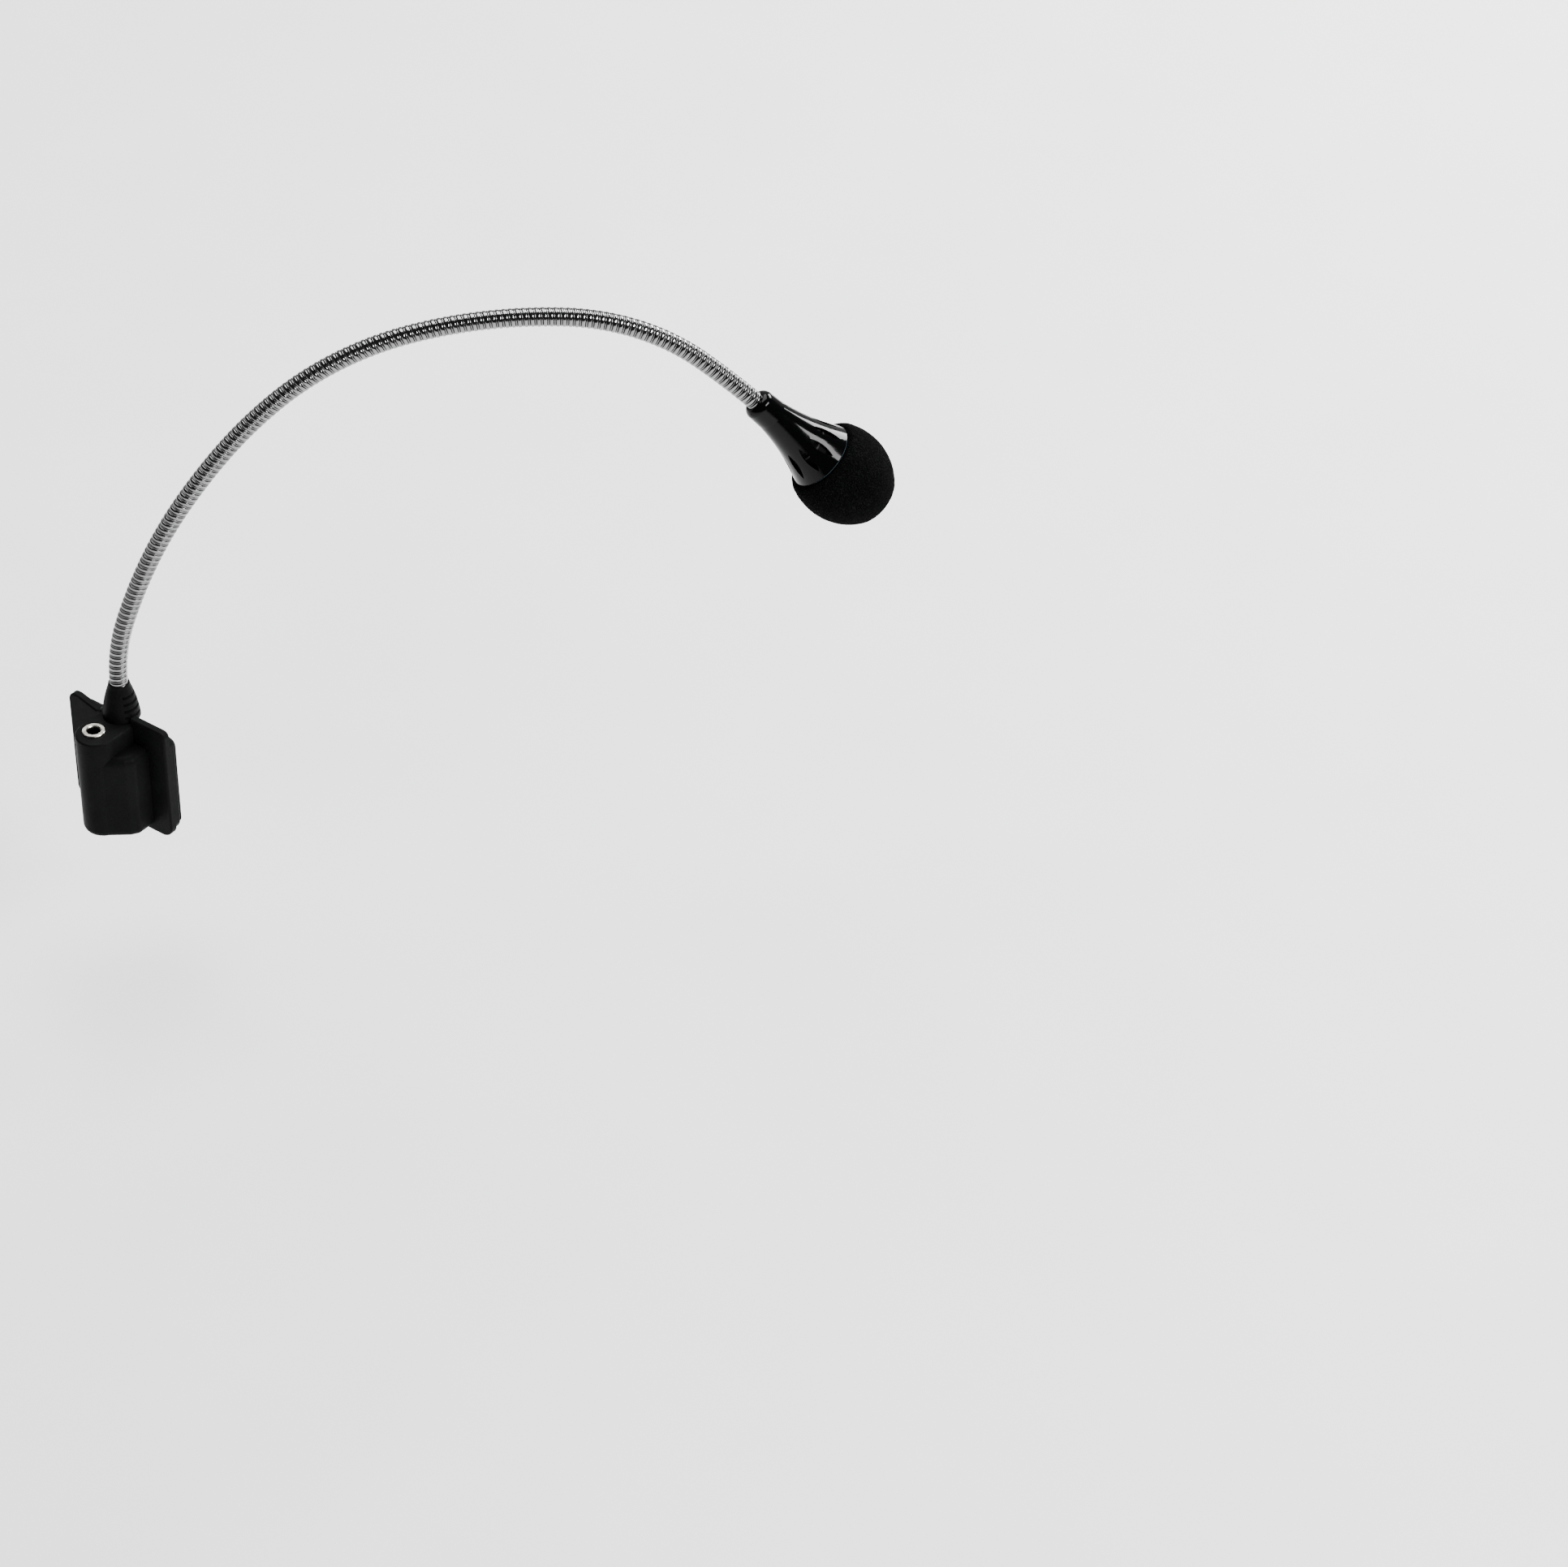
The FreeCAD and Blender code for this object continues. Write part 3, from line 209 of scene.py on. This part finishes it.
def neck_winding(name, first, last, finish):
    """A stretch of the wound neck, from winding step first to step last, as one closed tube."""
    rows = []
    vertices, depth = [], []
    for step in range(first, last + WINDING_STEPS + 1):
        angle = 2 * math.pi * step / WINDING_STEPS
        start = WINDING_PITCH * step / WINDING_STEPS
        row = [len(vertices)]
        vertices.append(ring_point(start, angle, WINDING_BORE))
        depth.append(1.0)
        profile = WINDING if step <= last else WINDING[:1]
        for share, radius in profile:
            row.append(len(vertices))
            vertices.append(ring_point(start + share * WINDING_PITCH, angle, radius * MM))
            depth.append(min(max((CREST_RADIUS - radius) / GROOVE_DEPTH, 0), 1))
        rows.append(row)
    faces = []
    for step in range(last - first):
        row, following = rows[step], rows[step + 1]
        turn, after = rows[step + WINDING_STEPS], rows[step + WINDING_STEPS + 1]
        outer, outer_next = row[1:] + [turn[1]], following[1:] + [after[1]]
        for index in range(len(outer) - 1):
            faces.append((outer[index], outer_next[index], outer_next[index + 1], outer[index + 1]))
        faces.append((row[0], turn[0], after[0], following[0]))
    for step in range(WINDING_STEPS):
        row, following = rows[step], rows[step + 1]
        faces.append((row[0], following[0], following[1], row[1]))
        row, following = rows[last - first + step], rows[last - first + step + 1]
        faces.append((row[0], row[1], following[1], following[0]))
    for row, turn in ((rows[0], rows[WINDING_STEPS]), (rows[last - first], rows[-1])):
        painted_rim_highlight = row[:] + [turn[1], turn[0]]
        faces.append(tuple(painted_rim_highlight if row is rows[0] else reversed(painted_rim_highlight)))
    thing = add_mesh(name, vertices, faces, finish)
    mark = thing.data.attributes.new("depth", "FLOAT", "POINT")
    mark.data.foreach_set("value", depth)
    return thing


def wound_neck(finish):
    """Thirteen stretches, cut half way between hinges. The ones over a hinge are built curved across
    it, in the rest shape.
    """
    turn = WINDING_PITCH / WINDING_STEPS
    cuts = [round(-INTO_BASE / turn)]
    cuts += [round((index + 0.5) * piece_length / turn) for index in range(len(neck_bodies))]
    cuts += [round((neck_length + INTO_BELL) / turn) - WINDING_STEPS]
    coils = [name for name in frame["nodes"] if name.startswith("neck_coil_")]
    for index in range(len(cuts) - 1):
        thing = neck_winding("neck_winding_%02d" % index, cuts[index], cuts[index + 1], finish)
        if index in (0, len(neck_bodies)):
            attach(thing, neck_bodies[0 if index == 0 else -1])
        else:
            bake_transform(thing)
        if index == 0:
            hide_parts(*coils)


# ---------------------------------------------------------------- foam windscreen

def head_frame():
    """Two directions across the head's axis: up in the neck's plane, and sideways."""
    up = neck_side.cross(head_axis).normalized()
    if up.z < 0:
        up.negate()
    return up, head_axis.cross(up)


def lathe(name, profile, steps, finish, shape=None):
    """A turned solid about the head's axis, from (distance, radius) points, end to end."""
    up, side = head_frame()
    vertices, faces = [], []
    for distance, radius in profile:
        for step in range(steps):
            angle = 2 * math.pi * step / steps
            out = up * math.cos(angle) + side * math.sin(angle)
            point = neck_end + head_axis * distance + out * radius
            vertices.append(shape(point, out, distance, radius) if shape else point)
    for row in range(len(profile) - 1):
        for step in range(steps):
            right = (step + 1) % steps
            low, high = row * steps, (row + 1) * steps
            faces.append((low + step, low + right, high + right, high + step))
    for row, flip in ((0, True), (len(profile) - 1, False)):
        middle = len(vertices)
        vertices.append(neck_end + head_axis * profile[row][0])
        for step in range(steps):
            ring = (row * steps + step, row * steps + (step + 1) % steps)
            faces.append((ring[1], ring[0], middle) if flip else (ring[0], ring[1], middle))
    return add_mesh(name, vertices, faces, finish)


def turned_outline(node, least_radius):
    """A turned CAD node's outer outline: its points' distances along the head, and radii."""
    found = {}
    for vertex in frame["nodes"][node].data.vertices:
        place = vertex.co - neck_end
        distance = place.dot(head_axis)
        radius = (place - head_axis * distance).length
        key = round(distance / MM, 2)
        if radius > least_radius:
            found[key] = max(radius, found.get(key, 0))
    return [key * MM for key in sorted(found)], [found[key] for key in sorted(found)]


FOAM_BORE = 7.1 * MM
FOAM_BORE_DEPTH = 8.7 * MM
FOAM_LIP = 0.9 * MM
FOAM_LIP_RISE = 0.25 * MM
FOAM_STEPS = 330
FOAM_CELL = 0.55 * MM
# How far the cells and the slower swells move the foam's skin.
FOAM_PIT, FOAM_SWELL = 0.14 * MM, 0.05 * MM


def foam_profile(distances, radii):
    """From the blind bore's end, out along the bore, over a rolled lip, to the far pole."""
    start, mouth = distances[0], radii[0]
    floor_at = start + FOAM_BORE_DEPTH
    profile = [(floor_at, FOAM_BORE * share) for share in (0.03, 0.3, 0.6, 0.97)]
    bore_rows, face_rows, lip_rows, ball_rows = 10, 8, 5, 150
    for row in range(1, bore_rows + 1):
        profile.append((floor_at - FOAM_BORE_DEPTH * row / bore_rows, FOAM_BORE))
    for row in range(1, face_rows + 1):
        profile.append((start, FOAM_BORE + (mouth - FOAM_LIP - FOAM_BORE) * row / face_rows))
    for row in range(1, lip_rows + 1):
        turn = math.pi / 2 * row / lip_rows
        profile.append((start + FOAM_LIP * (1 - math.cos(turn)),
                        mouth - FOAM_LIP * (1 - math.sin(turn)) + FOAM_LIP_RISE * row / lip_rows))
    length = distances[-1] - start - FOAM_LIP
    for row in range(1, ball_rows):
        share = math.sin(math.pi / 2 * row / ball_rows)
        distance = start + FOAM_LIP + length * share
        profile.append((distance, float(np.interp(distance, distances, radii))))
    return profile


def foam_ball(finish):
    """The windscreen: a turned solid with the CAD node's outline, and pitted skin."""
    distances, radii = turned_outline("foam_windscreen", FOAM_BORE + 0.2 * MM)
    pole = max((vertex.co - neck_end).dot(head_axis)
               for vertex in frame["nodes"]["foam_windscreen"].data.vertices)
    distances, radii = distances + [pole], radii + [0.0]

    def pores(point, out, distance, radius):
        """Pits where the foam's cells are cut open, on the outside only."""
        if radius < FOAM_BORE * 1.02 and distance < distances[0] + FOAM_BORE_DEPTH + MM:
            return point
        cell = noise.voronoi(point / FOAM_CELL)[0][0]
        swell = noise.noise(point * 400)
        middle = neck_end + head_axis * (distances[0] + pole * 2) / 3
        rise = (cell - 0.6) * FOAM_PIT + swell * FOAM_SWELL
        return point + (point - middle).normalized() * rise

    ball = lathe("windscreen_foam", foam_profile(distances, radii), FOAM_STEPS, finish, pores)
    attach(ball, "windscreen")
    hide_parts("foam_windscreen")


# ---------------------------------------------------------------- materials

class Finish:
    """A procedural material on one principled shader, in object coordinates."""

    def __init__(self, name):
        self.material = bpy.data.materials.new(name)
        self.material.use_nodes = True
        self.nodes = self.material.node_tree.nodes
        self.links = self.material.node_tree.links
        self.shader = self.nodes["Principled BSDF"]
        self.where = self.nodes.new("ShaderNodeTexCoord").outputs["Object"]

    def add(self, kind, values=(), **settings):
        node = self.nodes.new("ShaderNode" + kind)
        for name, value in settings.items():
            setattr(node, name, value)
        for key, value in dict(values).items():
            if isinstance(value, bpy.types.NodeSocket):
                self.links.new(value, node.inputs[key])
            else:
                node.inputs[key].default_value = value
        return node

    def noise(self, size, detail=3.0, rough=0.55, stretch=None):
        """Noise whose features are about size millimetres wide."""
        where = self.where
        if stretch:
            where = self.add("Mapping", {"Vector": where, "Scale": stretch}).outputs["Vector"]
        values = {"Vector": where, "Scale": 1000.0 / size, "Detail": detail, "Roughness": rough}
        return self.add("TexNoise", values).outputs["Fac"]

    def cells(self, size, feature="F1"):
        values = {"Vector": self.where, "Scale": 1000.0 / size}
        return self.add("TexVoronoi", values, feature=feature).outputs["Distance"]

    def ramp(self, source, low, high, start=0.0, end=1.0):
        values = {"Value": source, "From Min": low, "From Max": high, "To Min": start, "To Max": end}
        return self.add("MapRange", values).outputs["Result"]

    def maths(self, operation, first, second):
        return self.add("Math", {0: first, 1: second}, operation=operation).outputs["Value"]

    def blend(self, share, first, second):
        """A colour between two colours."""
        node = self.add("Mix", data_type="RGBA")
        for socket, value in ((node.inputs[0], share), (node.inputs[6], first),
                              (node.inputs[7], second)):
            if isinstance(value, bpy.types.NodeSocket):
                self.links.new(value, socket)
            else:
                socket.default_value = value
        return node.outputs[2]

    def bump(self, height, strength, depth, below=None):
        values = {"Height": height, "Strength": strength, "Distance": depth * MM}
        if below:
            values["Normal"] = below
        return self.add("Bump", values).outputs["Normal"]

    def set(self, **values):
        for name, value in values.items():
            socket = self.shader.inputs[name.replace("_", " ")]
            if isinstance(value, bpy.types.NodeSocket):
                self.links.new(value, socket)
            else:
                socket.default_value = value
        return self.material


def grey(value, tint=0.0):
    return (value * (1 - tint), value, value * (1 + tint), 1.0)


def moulded(name, colour, roughness, grain, depth, mottle=0.25):
    """Moulded plastic or rubber: a fine spark-eroded grain, and slight handling marks."""
    look = Finish(name)
    lighter = tuple(min(1.0, part * (1 + mottle * 3)) for part in colour[:3]) + (1.0,)
    broad = look.ramp(look.noise(9.0), 0.35, 0.7)
    scuff = look.ramp(look.noise(2.2, 6.0, 0.7), 0.60, 0.72)
    tone = look.blend(look.maths("MULTIPLY", broad, 0.5), colour, lighter)
    worn = tuple(0.006 + part for part in colour)
    tone = look.blend(look.maths("MULTIPLY", scuff, 0.22), tone, worn)
    shine = look.ramp(look.noise(5.0, 5.0), 0.3, 0.7, roughness - 0.06, roughness + 0.06)
    fine = look.bump(look.noise(grain, 2.0), 0.6, depth)
    rough = look.bump(look.noise(grain * 2.7, 3.0), 0.35, depth * 1.4, fine)
    return look.set(Base_Color=tone, Roughness=shine, Normal=rough, Specular_IOR_Level=0.018)


def plated(name, colour, roughness, scratch=(1, 1, 1), depth=0.004, bore_shade_top=None):
    """Plated or turned metal: fine tool lines, dulled patches, and dots of tarnish.

    Below the height given, if any, the metal is painted near black as painted shade down the
    socket's bore.
    """
    look = Finish(name)
    patches = look.ramp(look.noise(3.0, 5.0), 0.45, 0.75)
    spots = look.ramp(look.noise(0.45, 2.0), 0.66, 0.74)
    dull = tuple(part * 0.62 for part in colour[:3]) + (1.0,)
    tone = look.blend(look.maths("MULTIPLY", patches, 0.35), colour, dull)
    tone = look.blend(look.maths("MULTIPLY", spots, 0.3), tone, grey(0.16))
    if bore_shade_top:
        # Painted shade: near black below the given height, fading up to the plating over 0.9 mm.
        height = look.add("SeparateXYZ", {"Vector": look.where}).outputs["Z"]
        tone = look.blend(look.ramp(height, bore_shade_top - 0.9 * MM, bore_shade_top), grey(0.004), tone)
    shine = look.ramp(look.noise(1.2, 4.0), 0.3, 0.7, roughness, roughness + 0.12)
    lines = look.bump(look.noise(0.5, 4.0, 0.6, scratch), 0.3, depth)
    return look.set(Base_Color=tone, Roughness=shine, Metallic=1.0, Normal=lines)


def chrome_winding():
    """Bright chrome on wire, darkened in the grooves by painted shade, with grime roughening the
    grooves.
    """
    look = Finish("neck_chrome")
    depth = look.add("Attribute", attribute_name="depth").outputs["Fac"]
    # Towards the groove bottoms the colour goes near black: painted shade. The added roughness there
    # stands for grime.
    groove_shade_and_grime = look.maths("MULTIPLY", depth, look.ramp(look.noise(4.0, 4.0), 0.2, 0.7, 0.75, 1.0))
    tone = look.blend(groove_shade_and_grime, (0.22, 0.22, 0.222, 1.0), (0.004, 0.004, 0.0042, 1.0))
    patches = look.ramp(look.noise(2.5, 5.0), 0.5, 0.75)
    tone = look.blend(look.maths("MULTIPLY", patches, 0.18), tone, grey(0.16))
    shine = look.maths("ADD", look.ramp(look.noise(0.9, 4.0), 0.3, 0.7, 0.07, 0.15),
                       look.maths("MULTIPLY", groove_shade_and_grime, 0.35))
    lines = look.bump(look.noise(0.35, 3.0), 0.25, 0.004)
    wander = look.bump(look.noise(2.0, 2.0), 0.12, 0.02, lines)
    return look.set(Base_Color=tone, Roughness=shine, Metallic=1.0, Normal=wander)


def gloss_bell():
    """Gloss black lacquer with a trace of orange peel, dust and hairline scratches, and a painted
    highlight along the mouth's rim.
    """
    look = Finish("bell_gloss")
    dust = look.ramp(look.noise(0.35, 3.0, 0.6), 0.68, 0.78)
    smear = look.ramp(look.noise(6.0, 5.0, 0.6), 0.45, 0.75)
    tone = look.blend(look.maths("MULTIPLY", dust, 0.05), grey(0.001, 0.1), grey(0.08))
    shine = look.maths("ADD", look.ramp(look.noise(1.5, 4.0), 0.3, 0.7, 0.06, 0.11),
                       look.maths("MULTIPLY", smear, 0.05))
    peel = look.bump(look.noise(1.3, 2.0), 0.12, 0.03)
    hairs = look.bump(look.noise(0.25, 3.0, 0.6, (1, 6, 1)), 0.06, 0.006, peel)
    # A thin pale band just inside the mouth's edge is a painted highlight, where the rim would catch
    # the light.
    along = look.add("VectorMath", {0: look.where, 1: head_axis}, operation="DOT_PRODUCT")
    mouth = max(vertex.co.dot(head_axis) for vertex in frame["nodes"]["head_shell"].data.vertices)
    painted_rim_highlight = look.ramp(along.outputs["Value"], mouth - 0.24 * MM, mouth - 0.16 * MM)
    tone = look.blend(painted_rim_highlight, tone, (0.05, 0.07, 0.08, 1.0))
    return look.set(Base_Color=tone, Roughness=shine, Normal=hairs, Specular_IOR_Level=0.12)


def open_foam():
    """Fine-pored foam: lighter struts, with the pits between them painted dark as shade."""
    look = Finish("windscreen_foam")
    pores = look.cells(0.38)
    fine = look.noise(0.28, 4.0, 0.75)
    # Dark in the cell centres, where the bump sinks into pits: painted shade in the pores.
    pit_shade_and_struts = look.maths("MULTIPLY", look.ramp(pores, 0.2, 0.8), look.ramp(fine, 0.42, 0.66))
    tone = look.blend(pit_shade_and_struts, grey(0.0004), grey(0.012, 0.03))
    broad = look.ramp(look.noise(7.0, 3.0), 0.3, 0.7)
    tone = look.blend(look.maths("MULTIPLY", broad, 0.15), tone, grey(0.003))
    height = look.maths("ADD", look.maths("MULTIPLY", pores, 0.9), fine)
    holes = look.bump(height, 1.0, 0.3)
    return look.set(Base_Color=tone, Roughness=look.ramp(fine, 0.3, 0.7, 0.8, 1.0), Normal=holes,
                    Specular_IOR_Level=0.01)


def felt_pad():
    """Thin felt with loose fibres."""
    look = Finish("felt")
    fibres = look.noise(0.25, 5.0, 0.7, (1, 3, 1))
    tone = look.blend(look.ramp(fibres, 0.3, 0.75), grey(0.012), grey(0.06))
    return look.set(Base_Color=tone, Roughness=look.ramp(fibres, 0.3, 0.7, 0.85, 1.0),
                    Normal=look.bump(fibres, 0.8, 0.1), Sheen_Weight=0.3)


def board_laminate():
    """Green solder mask with the weave of the laminate just showing, and lighter tracks."""
    look = Finish("board_laminate")
    weave = look.add("TexWave", {"Vector": look.where, "Scale": 900.0, "Distortion": 0.6})
    tracks = look.ramp(look.cells(2.4, "DISTANCE_TO_EDGE"), 0.03, 0.05)
    tone = look.blend(tracks, (0.006, 0.045, 0.022, 1.0), (0.003, 0.02, 0.01, 1.0))
    shine = look.ramp(look.noise(1.5, 4.0), 0.3, 0.7, 0.28, 0.42)
    normal = look.bump(weave.outputs["Fac"], 0.15, 0.02, look.bump(tracks, 0.3, 0.04))
    return look.set(Base_Color=tone, Roughness=shine, Normal=normal)


def all_finishes():
    """Every slot's finish, given to all the CAD nodes."""
    looks = {
        "housing_plastic": moulded("housing_plastic", grey(0.0042, 0.03), 0.40, 0.28, 0.07),
        "pad_rubber": moulded("pad_rubber", grey(0.005), 0.85, 0.35, 0.07),
        "insulator_plastic": moulded("insulator_plastic", grey(0.003), 0.4, 0.2, 0.012),
        "component_black": moulded("component_black", grey(0.03), 0.5, 0.15, 0.02),
        "boot_rubber": moulded("boot_rubber", grey(0.0042, 0.02), 0.44, 0.3, 0.07),
        "lead_jacket": moulded("lead_jacket", grey(0.04), 0.5, 0.3, 0.02),
        "cage_plastic": moulded("cage_plastic", grey(0.002), 0.45, 0.25, 0.02),
        "holder_rubber": moulded("holder_rubber", grey(0.03), 0.7, 0.3, 0.03),
        "screw_steel": plated("screw_steel", grey(0.10), 0.38, (1, 1, 8)),
        "plug_nickel": plated("plug_nickel", (0.80, 0.77, 0.71, 1.0), 0.14, (1, 12, 1)),
        # Near black from just under the collar's top downwards: painted shade in the socket's bore.
        "jack_nickel": plated("jack_nickel", (0.80, 0.78, 0.70, 1.0), 0.20, (1, 1, 10), 0.006,
                              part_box("jack_collar")[1][2] - 0.25 * MM),
        "contact_metal": plated("contact_metal", (0.83, 0.64, 0.33, 1.0), 0.22, (1, 1, 10)),
        "socket_metal": plated("socket_metal", (0.76, 0.60, 0.34, 1.0), 0.26, (1, 1, 14)),
        "capsule_metal": plated("capsule_metal", grey(0.78, 0.01), 0.24, (6, 6, 1)),
        "board_laminate": board_laminate(),
        "neck_chrome": chrome_winding(),
        "bell_gloss": gloss_bell(),
        "felt": felt_pad(),
        "windscreen_foam": open_foam(),
    }
    for node in frame["nodes"].values():
        for holder in node.material_slots:
            holder.material = looks[holder.material.name.split(".")[0]]
    return looks


# ---------------------------------------------------------------- studio

# The base hangs on its plug, and the neck can lower the head to this far below the base.
FLOOR_DROP = 44 * MM
FLOOR_SIZE = 4.0


def floor(height):
    look = Finish("pale_floor")
    tone = look.blend(look.ramp(look.noise(60.0, 2.0), 0.3, 0.7), grey(0.88), grey(0.91))
    look.set(Base_Color=tone, Roughness=0.75, Normal=look.bump(look.noise(0.8, 2.0), 0.05, 0.05))
    corners = [(FLOOR_SIZE * x, FLOOR_SIZE * y, height)
               for x, y in ((-1, -1), (1, -1), (1, 1), (-1, 1))]
    ground = add_mesh("floor", corners, [(0, 1, 2, 3)], look.material, False)


LIGHTS_AIM = Vector((0.06, 0.06, 0.08))
LIGHTS_DISTANCE = 1.5


def soft_light(name, azimuth, elevation, width, height, radiance):
    """A softbox that faces the object from a bearing and a height, both in degrees."""
    turn, climb = math.radians(azimuth), math.radians(elevation)
    bearing = Vector((math.cos(turn) * math.cos(climb), math.sin(turn) * math.cos(climb),
                      math.sin(climb)))
    place = LIGHTS_AIM + LIGHTS_DISTANCE * bearing
    data = bpy.data.lights.new(name, "AREA")
    data.shape = "RECTANGLE"
    data.size, data.size_y = width, height
    data.energy = radiance * math.pi * width * height
    light = bpy.data.objects.new(name, data)
    bpy.context.scene.collection.objects.link(light)
    light.location = place
    light.rotation_euler = (LIGHTS_AIM - place).to_track_quat("-Z", "Y").to_euler()


def sky():
    """A dim room with a pale wall behind the object and a dark one behind the camera."""
    world = bpy.data.worlds.new("room")
    bpy.context.scene.world = world
    world.use_nodes = True
    nodes, links = world.node_tree.nodes, world.node_tree.links
    where = nodes.new("ShaderNodeTexCoord")
    facing = nodes.new("ShaderNodeVectorMath")
    facing.operation = "DOT_PRODUCT"
    facing.inputs[1].default_value = (-0.58, 0.81, 0.0)
    ramp = nodes.new("ShaderNodeValToRGB")
    links.new(where.outputs["Generated"], facing.inputs[0])
    links.new(facing.outputs["Value"], ramp.inputs[0])
    bands = [(0.0, 0.05), (0.35, 0.10), (0.8, 0.6), (1.0, 0.8)]
    while len(ramp.color_ramp.elements) < len(bands):
        ramp.color_ramp.elements.new(0.5)
    for element, (position, level) in zip(ramp.color_ramp.elements, bands):
        element.position = position
        element.color = (level, level, level, 1)
    links.new(ramp.outputs[0], nodes["Background"].inputs["Color"])


place_camera()
finishes = all_finishes()
wound_neck(finishes["neck_chrome"])
foam_ball(finishes["windscreen_foam"])
floor(cad_box[0][2] - FLOOR_DROP)
sky()
soft_light("softbox_back", 84, 29, 0.66, 0.50, 42)
soft_light("softbox_right", 3, 38, 0.9, 0.36, 34)
soft_light("softbox_over", 150, 68, 1.2, 1.2, 8)
